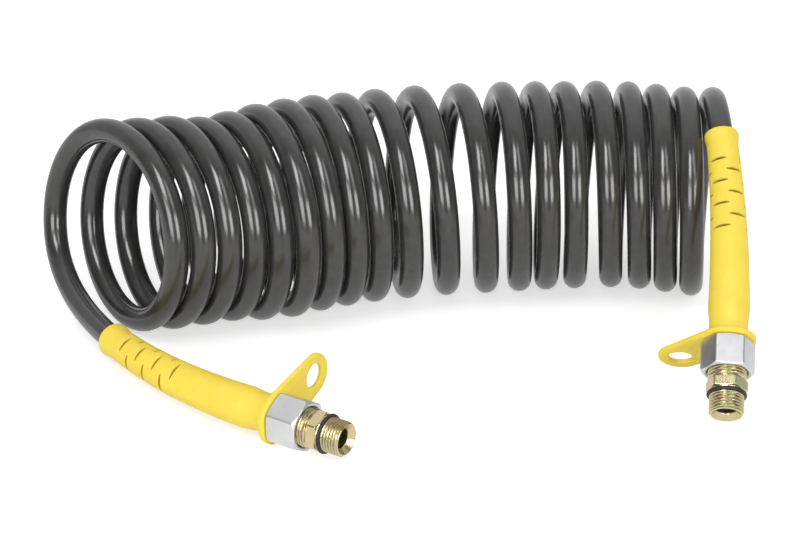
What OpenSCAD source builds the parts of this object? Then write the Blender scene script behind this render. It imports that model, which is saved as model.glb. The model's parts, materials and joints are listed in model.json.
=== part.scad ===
// Coiled air hose: a wound plastic tube with a kink guard and a screw-in coupling at each end.
// The coil lies along X and stands on the lowest points of its turns. Z is up, lengths are in mm.

/* [Hose] */
// Outer diameter of the tube
tube_d = 12; // [10:0.5:13]
// Wall of the tube
tube_wall = 2; // [1:0.25:2.5]
// Radius of a turn, to the middle of the tube
coil_r = 47.5; // [42:0.5:56]
// Full turns between the first top and the last one
coil_turns = 19; // [12:1:20]

/* [Kink guard] */
// Length of the guard
guard_len = 114.5; // [100:0.1:130]
// Outer diameter of the sleeve behind its mouth
guard_mouth_d = 15.4; // [15:0.1:17]
// Outer diameter of the sleeve where it is thickest
guard_thick_d = 19.4; // [18:0.1:22]
// Outer diameter of the lip around the mouth
lip_d = 16.8; // [16.4:0.1:19]
// Length of the straight lip piece
lip_len = 7; // [5:0.5:10]
// Thickness of the flange and its eye
flange_h = 2.5; // [2:0.25:4]
// Diameter of the flange
flange_d = 25.6; // [25.4:0.1:29]
// Hole of the eye
eye_hole_d = 11.5; // [8:0.5:13]
// Rim of the eye around its hole
eye_rim = 4.75; // [3:0.25:6]
// Distance from the middle of the guard to the middle of the eye
eye_reach = 29; // [25:0.2:34]
// Width of a slot along the guard
slot_w = 1.3; // [0.6:0.1:2]
// Share of the turn that a slot spans, in degrees
slot_span = 66; // [50:1:80]
// Distance between slots of one row
slot_pitch = 12.8; // [11:0.1:14]
// Slots in a row
slot_rows = 4; // [2:1:4]

/* [Screw coupling] */
// Outer diameter of the stud thread
stud_d = 16; // [14:0.5:17]
// Length of the stud thread
stud_len = 8.8; // [7:0.1:12]
// Bore through the stud
port_d = 9; // [6:0.5:10]
// Section of the stud seal ring
seal_d = 2; // [1.5:0.1:2.5]
// Hexagon of the body, across its flats
body_af = 17; // [17:0.5:22]
// Length of the hexagon of the body
body_hex_len = 5.6; // [4:0.1:8]
// Outer diameter of the thread under the nut
nut_thread_d = 18; // [17.5:0.5:19]
// Thread left bare in front of the nut
thread_bare = 4.2; // [2:0.1:8]
// Thread inside the nut
thread_in_nut = 5.5; // [4.5:0.1:7]
// Union nut, across its flats
nut_af = 22; // [21.5:0.5:27]
// Length of the union nut
nut_len = 15.8; // [14.5:0.1:20]
// Wall of the clamping ring at its collar
ring_wall = 1.5; // [1:0.1:1.7]
// Wall of the support sleeve
sleeve_wall = 1; // [0.5:0.1:1.5]
// Length of the support sleeve
sleeve_len = 20; // [12:1:30]

/* [Hidden] */

$fn = 96;
BLACK = [0.13, 0.13, 0.14];
YELLOW = [0.98, 0.85, 0.25];
ZINC = [0.78, 0.79, 0.82];
GOLD = [0.80, 0.71, 0.42];
STEEL = [0.62, 0.63, 0.65];
RUBBER = [0.16, 0.12, 0.11];

// Radii
tube_r = tube_d / 2;
bore_r = tube_r - tube_wall;
stud_r = stud_d / 2;
flange_r = flange_d / 2;
thread_r = nut_thread_d / 2;
ring_r = tube_r + ring_wall;

// Clearances
slip = 0.3;            // between the nut and what it turns on, and inside the guard
snug = 0.05;           // around the tube in its socket and beside the seal ring
cut = 0.5;             // by which a cutter stands out of what it cuts

// Stations along a coupling, measured from the end of its stud
seal_from = stud_len;
hex_from = seal_from + seal_d + 2 * snug;
thread_from = hex_from + body_hex_len;
nut_from = thread_from + thread_bare;
cone_mouth = nut_from + thread_in_nut;
nut_to = nut_from + nut_len;
guard_from = nut_to + slip;

// The socket of the body: the tube stands on the sleeve's flange, then a 24 degree cone opens
cone_angle = 12;
cone_len = 5;
tube_depth = 7;
tube_from = cone_mouth - tube_depth;
socket_floor = tube_from - sleeve_wall;
socket_r = tube_r + snug;
cone_r = socket_r + cone_len * tan(cone_angle);

// The guard is straight over its neck, bent over its sleeve and straight again at its lip
neck_len = 20.8;
bend_from = guard_from + neck_len;
bend_len = guard_len - neck_len - lip_len;
guard_bore_r = tube_r + slip;
sleeve_bore_r = guard_bore_r - snug;
mouth_bore_r = guard_bore_r + 1.3;
lap = 0.5;             // by which neighbouring pieces of one solid reach into each other
first_slot = 18.2;     // from the mouth
slots_around = 3;      // in one ring of slots; the rings are turned against each other
seat_behind = 4.3;     // seat of the nut, behind the mouth of the cone
ring_behind = 4.1;     // end of the clamping ring, behind the mouth of the cone
neck_waist = 8;        // length of the narrow part of the neck, with its hollow
sleeve_steps = 6;

// ---- The two ends ----
// Each end is a list of its heading in the ground plane and its bend, in degrees. The way in
// which the bend goes, the ways to the eye and to the first row of slots, and the turns of the
// nut and of the body are angles around the coupling, counted from straight up.
HEADING = 0;
BEND = 1;
BEND_WAY = 2;
EYE_WAY = 3;
SLOT_WAY = 4;
NUT_TURN = 5;
BODY_TURN = 6;
LEFT = [-33.2, 20, 90, 73, -32, 0, 10];
RIGHT = [-97.5, 7, -110, -134, -30, 32, 20];

function bend_radius(end) = bend_len * 180 / (PI * end[BEND]);

// Place of the mouth of a guard beside its stud's axis and along it
function mouth_offset(end) =
    let (r = bend_radius(end), b = end[BEND])
    [r * (1 - cos(b)) + lip_len * sin(b), bend_from + r * sin(b) + lip_len * cos(b)];

// ---- The coil ----
// The winding is counted in turns from its first top. The tube comes over the top, goes down on
// the near side, runs under and comes up on the far side. Each line below is a list of
// [turn, value]; the values in between lie on straight lines.
// Turn of the loops about Z, which faces them to the left at the left end
loop_yaw = [[-0.5, 41.1], [2, 33.5], [4, 27.6], [6, 21.3], [9, 11.7], [12, 1.5], [14, -0.7],
    [16, -4.1], [20, -7.9]];
// Heading of the coil's axis over the ground
axis_heading = [[-0.5, 10.3], [1, 9.8], [2, 19], [3, 18], [4, 1.5], [5, 14.7], [6, 30.3],
    [7, 21.4], [9, 14.1], [11, 6.2], [13, 7], [15, 4.6], [16, -8.9], [17, -17.1], [20, -20.2]];
// Lean of the loops out of the vertical
loop_lean = [[-0.5, -8.2], [2, -7], [4, -4.7], [6, -1.2], [10, 0.8], [12, 0.1], [14, -1.1],
    [16, 1.7], [20, 0.2]];
// Room that each turn leaves to the next one along the axis
turn_room = [[-0.5, 4.2], [1, 3], [2, 3.4], [3, 3.2], [4, 2.3], [5, 3.1], [6, 4], [7, 3],
    [8, 3.5], [9, 6.4], [10, 10.3], [11, 10.5], [12, 6.5], [13, 2.1], [14, 3.2], [15, 7.8],
    [16, 2], [20, 2.1]];
// What each turn's radius has over the plain one; the turns have been handled and relaxed
turn_swell = [[-0.5, 2.6], [0, 0.3], [1, 0.2], [2, 0], [3, -1.1], [4, -0.1], [5, 1.5], [6, 1.8],
    [8, 1.2], [10, 1.5], [12, 1.5], [14, 1], [17, 0.6], [18, 0.6], [19, 1.3], [20, 1.3]];
coil_from = [-132.8, 19.9];    // middle of the first turn over the ground
loop_rings = 24;
loop_sides = 6;
flat_cut = tube_d / 10;        // by which the tube is cut flat where it stands

ring_step = 360 / loop_rings;
first_angle = -97.5;           // where the left run leaves the first turn
last_angle = 360 * coil_turns - ring_step / 2;
winding_rings = round((last_angle - first_angle) / ring_step);
function turn_r(n) = coil_r + lookup(n, turn_swell);
function axis_height(n) = tube_r - flat_cut + turn_r(n);

function pitch_at(n) = tube_d + lookup(n, turn_room);
function axis_step(n) =
    let (h = lookup(n, axis_heading))
    pitch_at(n) * [cos(h), sin(h)] / loop_rings;

// Middle of every turn over the ground, ring by ring, from the first angle on
function turn_of(i) = (first_angle + i * ring_step) / 360;
first_middle = coil_from + axis_step(0) * first_angle / ring_step;
middles = [for (i = 0, p = first_middle; i <= winding_rings;
    p = p + axis_step(turn_of(i + 0.5)), i = i + 1) p];

function winding_point(i) =
    let (n = turn_of(i), a = 360 * n, yaw = lookup(n, loop_yaw), lean = lookup(n, loop_lean),
        r = turn_r(n) / cos(ring_step / 2), away = -r * sin(a), over = r * cos(a))
    [middles[i].x - away * sin(yaw) - over * sin(lean) * cos(yaw),
     middles[i].y + away * cos(yaw) - over * sin(lean) * sin(yaw),
     axis_height(n) + over * cos(lean)];
winding = [for (i = [0:winding_rings]) winding_point(i)];

function unit(v) = v / norm(v);
start_way = unit(winding[0] - winding[1]);
finish_way = unit(winding[winding_rings] - winding[winding_rings - 1]);

// ---- Where the ends lie ----
// The left coupling lies flat, on the rim of its guard's flange, with its mouth beside the first
// turn. The right guard hangs from the last turn and its stud stands on the ground.
left_mouth_reach = [38.9, -80];            // over the ground, from where the winding starts
right_mouth_reach = [-0.9, -32.3, -6.8];   // from where the winding ends
left_mouth = [winding[0].x + left_mouth_reach.x, winding[0].y + left_mouth_reach.y];
right_mouth = winding[winding_rings] + right_mouth_reach;
left_tilt = 0;
right_lift = stud_r + mouth_offset(RIGHT)[0] * cos(RIGHT[BEND_WAY]);
right_tilt = asin(right_mouth.z / norm([mouth_offset(RIGHT)[1], right_lift]))
    - atan2(right_lift, mouth_offset(RIGHT)[1]);

// Turns a point of an end's own frame, in which Z runs from the stud to the mouth
function turned(p, end, tilt) =
    let (b = tilt - 90, h = end[HEADING],
        q = [p.x * cos(b) + p.z * sin(b), p.y, p.z * cos(b) - p.x * sin(b)])
    [q.x * cos(h) - q.y * sin(h), q.x * sin(h) + q.y * cos(h), q.z];

// A point on the middle line of an end, a distance s behind its mouth, and the way into it
function end_line(end, s) =
    let (r = bend_radius(end), a = min(end[BEND], end[BEND] - (s - lip_len) * 180 / (PI * r)),
        rest = max(0, lip_len - s), w = end[BEND_WAY],
        x = r * (1 - cos(a)) + rest * sin(a), z = bend_from + r * sin(a) + rest * cos(a))
    [[x * cos(w), x * sin(w), z], [-sin(a) * cos(w), -sin(a) * sin(w), -cos(a)]];

left_shift = turned(end_line(LEFT, 0)[0], LEFT, left_tilt);
right_shift = turned(end_line(RIGHT, 0)[0], RIGHT, right_tilt);
left_tip = [left_mouth.x - left_shift.x, left_mouth.y - left_shift.y, flange_r];
right_tip = [right_mouth.x - right_shift.x, right_mouth.y - right_shift.y,
    stud_r * cos(right_tilt)];

// Places of the coil's tube inside the guards: it meets the tail where the bend ends, and its
// last piece before that face is straight for one diameter of the tube
tube_in_guard = bend_len + lip_len;
rings_in_guard = 6;
curve_ends_at = lip_len + 1;
guard_step = (tube_in_guard - tube_d - curve_ends_at) / rings_in_guard;
function left_line(s) = left_tip + turned(end_line(LEFT, s)[0], LEFT, left_tilt);
function left_way(s) = turned(end_line(LEFT, s)[1], LEFT, left_tilt);
function right_line(s) = right_tip + turned(end_line(RIGHT, s)[0], RIGHT, right_tilt);
function right_way(s) = turned(end_line(RIGHT, s)[1], RIGHT, right_tilt);
left_face = left_line(tube_in_guard);
left_in = left_way(tube_in_guard);
right_face = right_line(tube_in_guard);
right_in = right_way(tube_in_guard);
stations = [for (k = [1:rings_in_guard - 1]) curve_ends_at + k * guard_step];

// ---- The runs between the winding and the guards ----
// Each run is a curve that leaves the winding along it and enters the guard along its middle line
function curve_point(a, b, c, d, k) =
    a * pow(1 - k, 3) + 3 * b * k * pow(1 - k, 2) + 3 * c * k * k * (1 - k) + d * pow(k, 3);
left_handles = [46, 14];
right_handles = [14, 14];
left_rings = 8;
right_rings = 4;
left_entry = left_line(curve_ends_at);
right_entry = right_line(curve_ends_at);
left_run = [for (k = [1:left_rings]) curve_point(
    winding[0], winding[0] + start_way * left_handles[0],
    left_entry - left_way(curve_ends_at) * left_handles[1], left_entry, k / left_rings)];
right_run = [for (k = [1:right_rings]) curve_point(
    winding[winding_rings], winding[winding_rings] + finish_way * right_handles[0],
    right_entry - right_way(curve_ends_at) * right_handles[1], right_entry, k / right_rings)];
left_part = concat([left_face, left_face - left_in * tube_d],
    [for (k = [len(stations) - 1:-1:0]) left_line(stations[k])],
    [for (k = [left_rings - 1:-1:0]) left_run[k]]);
centres = concat(left_part, winding, right_run, [for (s = stations) right_line(s)],
    [right_face - right_in * tube_d, right_face]);
last_ring = len(centres) - 1;

// The way of the tube at each ring; it is square to the faces at the two ends
function way_at(i) =
    i <= 1 ? -left_in
    : i >= last_ring - 1 ? right_in
    : unit(centres[i + 1] - centres[i - 1]);
ways = [for (i = [0:last_ring]) way_at(i)];

// One side of the tube, carried along the line without twisting it. It starts from the turns'
// own middle, so that a flat side of the tube faces the ground.
function square_to(v, way) = unit(v - (v * way) * way);
function turn_out(i) =
    let (p = winding[i], m = middles[i]) [p.x - m.x, p.y - m.y, p.z - axis_height(turn_of(i))];
first_wound = len(left_part);
sides = [for (i = [0:last_ring])
    square_to(turn_out(min(max(i - first_wound, 0), winding_rings)), ways[i])];

function ring_at(i) =
    let (u = sides[i], v = cross(ways[i], sides[i]))
    [for (k = [0:loop_sides - 1])
        let (a = 360 * (k + 0.5) / loop_sides,
            p = centres[i] + tube_r * (cos(a) * u + sin(a) * v))
        [p.x, p.y, max(p.z, 0)]];
skin_points = [for (i = [0:last_ring]) each ring_at(i)];
skin_faces = concat(
    [for (k = [1:loop_sides - 2]) [0, k + 1, k]],
    [for (i = [0:last_ring - 1], k = [0:loop_sides - 1], half = [0, 1])
        let (a = i * loop_sides + k, b = i * loop_sides + (k + 1) % loop_sides)
        half == 0 ? [a, b, b + loop_sides] : [a, b + loop_sides, a + loop_sides]],
    [for (k = [1:loop_sides - 2])
        let (f = last_ring * loop_sides) [f, f + k, f + k + 1]]);

// Least gap of the tube to itself: from each ring's middle to the line of the turns beside it
function to_line(p, a, b) =
    let (k = min(1, max(0, (p - a) * (b - a) / ((b - a) * (b - a)))))
    norm(p - a - k * (b - a));
half_turn = loop_rings / 2;
gaps = [for (i = [0:last_ring - half_turn - 1],
    j = [i + half_turn:min(i + 2 * loop_rings + first_wound, last_ring - 1)])
    to_line(centres[i], centres[j], centres[j + 1])];
echo(least_gap_of_coil = min(gaps) - tube_d);
tube_steps = [for (i = [1:last_ring]) norm(centres[i] - centres[i - 1])];
function sum(list, i = 0) = i < len(list) ? list[i] + sum(list, i + 1) : 0;
echo(tube_length_in_coil = sum(tube_steps), rings = last_ring + 1);
echo(left_tip = left_tip, right_tip = right_tip, right_tilt = right_tilt);

module hose_coil() {
    color(BLACK)
        polyhedron(points = skin_points, faces = skin_faces, convexity = 20);
}

// ---- Frames of the ends ----
module at_left() {
    translate(left_tip) rotate([0, left_tilt - 90, LEFT[HEADING]]) children();
}

module at_right() {
    translate(right_tip) rotate([0, right_tilt - 90, RIGHT[HEADING]]) children();
}

// The bent stretch of an end: turning about its Z axis moves along the sleeve
module in_bend(end) {
    rotate([0, 0, end[BEND_WAY]]) translate([bend_radius(end), 0, bend_from])
        rotate([90, 0, 180]) children();
}

module at_lip(end) {
    in_bend(end) rotate([0, 0, end[BEND]]) translate([bend_radius(end), 0, 0])
        rotate([-90, 0, 0]) children();
}

// A piece of the bend with the outline given by the child, from one angle on
module bend_piece(end, from_angle, angle) {
    in_bend(end) rotate([0, 0, from_angle]) rotate_extrude(angle = angle)
        translate([bend_radius(end), 0]) children();
}

// ---- Tails: the straight tube inside a guard's neck and its coupling ----
module hose_tail() {
    color(BLACK) translate([0, 0, tube_from]) linear_extrude(bend_from - tube_from)
        difference() {
            circle(r = tube_r);
            circle(r = bore_r);
        }
}

// ---- Kink guard ----
module eye_outline() {
    eye_r = eye_hole_d / 2 + eye_rim;
    // Angle of the straight flanks that touch both the flange and the eye
    flank = acos((flange_r - eye_r) / eye_reach);
    difference() {
        union() {
            circle(r = flange_r);
            translate([eye_reach, 0]) circle(r = eye_r);
            polygon([
                flange_r * [cos(flank), sin(flank)],
                flange_r * [cos(flank), -sin(flank)],
                [eye_reach, 0] + eye_r * [cos(flank), -sin(flank)],
                [eye_reach, 0] + eye_r * [cos(flank), sin(flank)]]);
        }
        translate([eye_reach, 0]) circle(d = eye_hole_d);
    }
}

// The neck flares into the flange, is drawn in behind it and swells to the thickest place
module neck() {
    thick_r = guard_thick_d / 2;
    drawn_in = 0.7;
    neck_r = thick_r - drawn_in;
    rim = 2;               // of the flange, left bare around the flare
    flare = 1.6;
    narrowest = flange_h + neck_waist / 2;
    swell_from = flange_h + neck_waist;
    thick_from = neck_len - 4;
    rotate_extrude() polygon([
        [0, flange_h - lap], [flange_r - rim, flange_h - lap], [flange_r - rim, flange_h],
        [(neck_r + thick_r) / 2, flange_h + flare], [neck_r, narrowest],
        [neck_r + 0.2, swell_from], [thick_r, thick_from], [thick_r, neck_len], [0, neck_len]]);
}

// The sleeve gets thinner towards the mouth in small steps along its bend
module sleeve(end) {
    step = end[BEND] / sleeve_steps;
    back = lap * 180 / (PI * bend_radius(end));
    taper = (guard_mouth_d - guard_thick_d) / 2 / sleeve_steps;
    for (k = [0:sleeve_steps - 1])
        bend_piece(end, k * step - back, step + back)
            circle(r = guard_thick_d / 2 + (k + 0.5) * taper);
}

module lip(end) {
    at_lip(end) rotate_extrude() polygon([
        [0, -lap], [guard_mouth_d / 2, -lap], [guard_mouth_d / 2, 0], [lip_d / 2, lip_len - 2],
        [lip_d / 2, lip_len - 0.6], [lip_d / 2 - 0.4, lip_len], [0, lip_len]]);
}

module slot(end, from_mouth, way) {
    turn = 180 / (PI * bend_radius(end));
    middle = (bend_len + lip_len - from_mouth) * turn;
    reach = guard_thick_d;
    half = slot_span / 2;
    // Across the sleeve, x points out of the bend and the way is counted from its inside
    bend_piece(end, middle - slot_w * turn / 2, slot_w * turn)
        rotate(180 - way + end[BEND_WAY])
            polygon([[0, 0], reach * [cos(half), sin(half)], reach * [cos(half), -sin(half)]]);
}

module kink_guard(end) {
    row_way = end[SLOT_WAY];
    color(YELLOW) difference() {
        union() {
            translate([0, 0, guard_from]) {
                rotate([0, 0, end[EYE_WAY]]) linear_extrude(flange_h) eye_outline();
                neck();
            }
            sleeve(end);
            lip(end);
        }
        translate([0, 0, guard_from - cut])
            cylinder(r = guard_bore_r, h = neck_len + cut + lap);
        bend_piece(end, 0, end[BEND]) circle(r = sleeve_bore_r);
        at_lip(end) rotate_extrude() polygon([
            [0, -lap], [guard_bore_r, -lap], [guard_bore_r, 0], [mouth_bore_r, lip_len],
            [mouth_bore_r, lip_len + cut], [0, lip_len + cut]]);
        for (k = [0:slot_rows - 1], n = [0:slots_around - 1])
            slot(end, first_slot + k * slot_pitch, row_way + n * 360 / slots_around);
        for (k = [0:slot_rows - 2], n = [0:slots_around - 1])
            slot(end, first_slot + (k + 0.5) * slot_pitch,
                row_way + (n + 0.5) * 360 / slots_around);
    }
}

// ---- Union nut ----
// A hexagon bar with its corners turned down at both ends
module hex_bar(across, length) {
    corner = across / sqrt(3);
    face = across / 2 - 0.2;
    drop = (corner - face) * tan(30);
    intersection() {
        cylinder(r = corner, h = length, $fn = 6);
        rotate_extrude() polygon([
            [0, 0], [face, 0], [corner, drop], [corner, length - drop], [face, length],
            [0, length]]);
    }
}

module union_nut(end) {
    seat_r = ring_r + slip;
    hole_r = tube_r + slip + snug;
    seat_from = cone_mouth - nut_from + seat_behind;
    seat_to = seat_from + seat_r - hole_r;
    relief_from = seat_from - 1.4;
    color(ZINC)
        translate([0, 0, nut_from]) rotate([0, 0, end[NUT_TURN]]) difference() {
            hex_bar(nut_af, nut_len);
            rotate_extrude() polygon([
                [0, -cut], [thread_r + slip, -cut], [thread_r + slip, relief_from],
                [seat_r, relief_from + 0.8], [seat_r, seat_from], [hole_r, seat_to],
                [hole_r, nut_len + cut], [0, nut_len + cut]]);
        }
}

// ---- Clamping ring and support sleeve ----
module clamping_ring() {
    front = cone_mouth - 3.6;
    front_r = socket_r + (front - cone_mouth + cone_len) * tan(cone_angle) - 2 * snug;
    rear_r = tube_r + 0.5;
    rear = cone_mouth + ring_behind;
    color(STEEL)
        rotate_extrude() polygon([
            [tube_r, front], [front_r, front], [cone_r - 2 * snug, cone_mouth],
            [ring_r, cone_mouth + slip], [ring_r, rear], [rear_r, rear + ring_r - rear_r],
            [tube_r, rear + ring_r - rear_r]]);
}

module support_sleeve() {
    color(STEEL)
        rotate_extrude() polygon([
            [bore_r - sleeve_wall, socket_floor], [tube_r - 0.2, socket_floor],
            [tube_r - 0.2, tube_from], [bore_r, tube_from], [bore_r, tube_from + sleeve_len],
            [bore_r - sleeve_wall, tube_from + sleeve_len]]);
}

// ---- Screw-in body and its seal ----
seal_ring_r = stud_r + 0.2;    // middle of the seal's section

module screw_in_body(end) {
    port_r = port_d / 2;
    chamfer = 0.8;
    sink = stud_r - chamfer - port_r;
    seat_r = seal_ring_r - seal_d / 2 - snug;
    color(GOLD)
        difference() {
            union() {
                rotate_extrude() polygon([
                    [0, 0], [stud_r - chamfer, 0], [stud_r, chamfer], [stud_r, seal_from],
                    [seat_r, seal_from], [seat_r, hex_from + cut], [0, hex_from + cut]]);
                translate([0, 0, hex_from]) rotate([0, 0, end[BODY_TURN]])
                    hex_bar(body_af, body_hex_len);
                translate([0, 0, thread_from - cut])
                    cylinder(r = thread_r, h = cone_mouth - thread_from + cut);
            }
            rotate_extrude() polygon([
                [0, -cut], [stud_r - chamfer - 0.4, -cut], [stud_r - chamfer - 0.4, 0],
                [port_r, sink], [port_r, socket_floor],
                [socket_r, socket_floor], [socket_r, cone_mouth - cone_len],
                [cone_r, cone_mouth], [cone_r, cone_mouth + cut], [0, cone_mouth + cut]]);
        }
}

module stud_seal() {
    color(RUBBER)
        translate([0, 0, seal_from + snug + seal_d / 2]) rotate_extrude()
            translate([seal_ring_r, 0]) circle(d = seal_d, $fn = 32);
}

// ---- The sub-parts ----
module left_hose_tail() { at_left() hose_tail(); }
module right_hose_tail() { at_right() hose_tail(); }
module left_kink_guard() { at_left() kink_guard(LEFT); }
module right_kink_guard() { at_right() kink_guard(RIGHT); }
module left_union_nut() { at_left() union_nut(LEFT); }
module right_union_nut() { at_right() union_nut(RIGHT); }
module left_clamping_ring() { at_left() clamping_ring(); }
module right_clamping_ring() { at_right() clamping_ring(); }
module left_support_sleeve() { at_left() support_sleeve(); }
module right_support_sleeve() { at_right() support_sleeve(); }
module left_screw_in_body() { at_left() screw_in_body(LEFT); }
module right_screw_in_body() { at_right() screw_in_body(RIGHT); }
module left_stud_seal() { at_left() stud_seal(); }
module right_stud_seal() { at_right() stud_seal(); }

hose_coil();
left_hose_tail();
right_hose_tail();
left_kink_guard();
right_kink_guard();
left_union_nut();
right_union_nut();
left_clamping_ring();
right_clamping_ring();
left_support_sleeve();
right_support_sleeve();
left_screw_in_body();
right_screw_in_body();
left_stud_seal();
right_stud_seal();
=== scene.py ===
# %% [markdown]
# # A coiled air hose, piece by piece
# The object is a wound plastic air hose. Each end has a slotted kink guard, a union nut and a
# screw-in body with a seal ring. A construction model of it already exists, with every solid in
# its place. This lesson loads that model and dresses it: each piece becomes a smooth surface
# that numpy works out from a short formula, and each finish is built from shader nodes.

# %% Load the construction model
import json
import math

import bmesh
import bpy
import numpy as np
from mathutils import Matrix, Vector
from mathutils.geometry import tessellate_polygon


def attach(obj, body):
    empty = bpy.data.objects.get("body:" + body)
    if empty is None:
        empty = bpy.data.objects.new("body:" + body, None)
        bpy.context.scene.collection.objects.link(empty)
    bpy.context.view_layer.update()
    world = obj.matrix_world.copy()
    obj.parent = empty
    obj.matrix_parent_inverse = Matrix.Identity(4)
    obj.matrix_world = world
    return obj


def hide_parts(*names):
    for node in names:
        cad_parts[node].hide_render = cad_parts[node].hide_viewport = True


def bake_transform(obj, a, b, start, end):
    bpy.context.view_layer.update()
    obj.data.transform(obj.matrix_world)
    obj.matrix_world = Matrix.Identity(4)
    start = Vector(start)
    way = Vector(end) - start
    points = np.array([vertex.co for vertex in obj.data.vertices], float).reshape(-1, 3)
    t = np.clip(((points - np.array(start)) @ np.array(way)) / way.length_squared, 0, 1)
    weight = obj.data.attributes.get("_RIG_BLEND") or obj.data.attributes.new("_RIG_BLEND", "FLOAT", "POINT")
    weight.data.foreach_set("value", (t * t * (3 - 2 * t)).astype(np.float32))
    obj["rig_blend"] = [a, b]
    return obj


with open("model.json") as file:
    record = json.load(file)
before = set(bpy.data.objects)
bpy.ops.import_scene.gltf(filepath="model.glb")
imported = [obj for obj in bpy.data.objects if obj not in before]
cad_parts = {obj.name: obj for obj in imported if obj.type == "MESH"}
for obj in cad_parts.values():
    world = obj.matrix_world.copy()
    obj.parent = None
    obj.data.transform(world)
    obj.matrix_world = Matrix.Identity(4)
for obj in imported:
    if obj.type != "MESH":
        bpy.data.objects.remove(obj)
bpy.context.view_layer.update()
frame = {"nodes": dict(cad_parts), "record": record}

scene = bpy.context.scene
WHITE = (1, 1, 1, 1)

# %% [markdown]
# ## The camera
# The camera comes first, because every later choice is judged through it. It looks along the Y
# axis and a good quarter of a right angle down. A long lens from three quarters of a metre keeps
# the turns nearly parallel, yet the near coupling still looks larger than the far turns.

# %% Place the camera
MM = 0.001
CAMERA_DOWN = math.radians(25)
CAMERA_DISTANCE = 760 * MM
LOOKED_AT = Vector((7.9, -145.8, 108.43)) * MM
SENSOR_WIDTH = 36
FOCAL_WIDTHS = 2.3544

camera = bpy.data.objects.new("camera", bpy.data.cameras.new("camera"))
scene.collection.objects.link(camera)
camera_way = Vector((0, math.cos(CAMERA_DOWN), -math.sin(CAMERA_DOWN)))
camera.location = LOOKED_AT - camera_way * CAMERA_DISTANCE
camera.rotation_euler = (math.pi / 2 - CAMERA_DOWN, 0, 0)
camera.data.sensor_width = SENSOR_WIDTH
camera.data.lens = SENSOR_WIDTH * FOCAL_WIDTHS
camera.data.clip_start = 10 * MM
camera.data.clip_end = 20
scene.camera = camera
print("camera at", tuple(round(x, 4) for x in camera.location))

# %% [markdown]
# ## Where the two couplings lie
# Both ends are the same parts in two places, so one function places them. The model's record
# gives the hinge of each union nut: a point on the coupling's middle line and the way towards
# the stud. From these comes a frame whose Z axis runs from the stud to the mouth of the guard
# and whose X axis points up, and every piece of an end is drawn in that frame.

# %% Frames of the ends
HINGE_STATION = 29 * MM      # distance of the hinge's point from the end of the stud

# Angles in degrees: how far and which way a guard bends, and which way its parts are turned
LEFT = dict(side="left", bend=20, bend_way=90, eye_way=73, slot_way=-32, nut_turn=0, body_turn=10)
RIGHT = dict(side="right", bend=7, bend_way=-110, eye_way=-134, slot_way=-30, nut_turn=32, body_turn=20)
joints = {joint["name"]: joint for joint in frame["record"]["behaviour"]["joints"]}


def unit(v):
    """A direction of length one."""
    return v / np.linalg.norm(v, axis=-1, keepdims=True)


for end in (LEFT, RIGHT):
    hinge = joints[end["side"] + "_nut_turn"]
    to_stud = unit(np.array(hinge["axis"], float))
    side_way = unit(np.cross([0, 0, 1], to_stud))
    end["axes"] = np.stack([np.cross(side_way, -to_stud), side_way, -to_stud])
    end["tip"] = np.array(hinge["pos_m"], float) + to_stud * HINGE_STATION
    print(end["side"], "stud ends at", end["tip"].round(4))


def placed(end, points):
    """Points of an end's own frame in the model's frame: the tip plus each coordinate times its axis."""
    return end["tip"] + points @ end["axes"]


# %% [markdown]
# ## The middle line of a guard
# A kink guard is straight over its neck, bends gently over its sleeve and is straight again at
# its lip. A function gives the point at any distance behind the mouth, and the three directions
# there, so that the sleeve, its slots, the lip and the hose all share one line.

# %% The line of a guard
GUARD_FROM = 36.8 * MM       # stations are distances from the end of the stud
GUARD_LEN = 114.5 * MM
NECK_LEN = 20.8 * MM
LIP_LEN = 7 * MM
BEND_FROM = GUARD_FROM + NECK_LEN
BEND_LEN = GUARD_LEN - NECK_LEN - LIP_LEN


def guard_line(end, behind):
    """Middle line of a guard. Each distance behind the mouth is split into three stretches: before the
    bend, in it and past it. The point is the start of the bend plus an arc of radius length / angle plus
    the straight rests. Returns points and the ways inside the bend, beside it and out."""
    bend = math.radians(end["bend"])
    radius = BEND_LEN / bend
    angle = np.clip(bend - (behind - LIP_LEN) / radius, 0, bend)
    before = np.clip(LIP_LEN - behind, 0, None)
    past = np.clip(behind - LIP_LEN - BEND_LEN, 0, None)
    aside = radius * (1 - np.cos(angle)) + before * np.sin(angle)
    along = BEND_FROM + radius * np.sin(angle) + before * np.cos(angle) - past
    way = math.radians(end["bend_way"])
    inward = np.array([math.cos(way), math.sin(way), 0.0])
    up = np.array([0, 0, 1.0])
    beside = np.array([-math.sin(way), math.cos(way), 0.0])
    cos, sin = np.cos(angle)[:, None], np.sin(angle)[:, None]
    points = aside[:, None] * inward + along[:, None] * up
    return points, cos * inward - sin * up, beside, sin * inward + cos * up


mouth = {end["side"]: placed(end, guard_line(end, np.zeros(1))[0])[0] for end in (LEFT, RIGHT)}
print("mouths of the guards:", {side: point.round(4) for side, point in mouth.items()})

# %% [markdown]
# ## The route of the hose
# A wound hose is a helix that somebody has handled: its turns face different ways and differ a
# little in size, its axis wanders over the ground and the room between turns changes. So each of
# these is a short table over the turns, read with straight lines in between, and the helix is
# drawn around the wandering axis. The lower half of each turn is pressed flatter by the hose's
# own weight, which leaves the tube standing exactly on the ground.

# %% The winding
TUBE_R = 6 * MM
BORE_R = 4 * MM
COIL_R = 47.5 * MM
FLATTENED = 0.2              # share of the tube's radius that its own weight presses off the lower half
FIRST_TURN = -97.5 / 360     # turns are counted from the top of the first whole one
LAST_TURN = 19 - 7.5 / 360
WINDING_POINTS = 9600
COIL_FROM = np.array([-132.8, 19.9]) * MM
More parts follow.
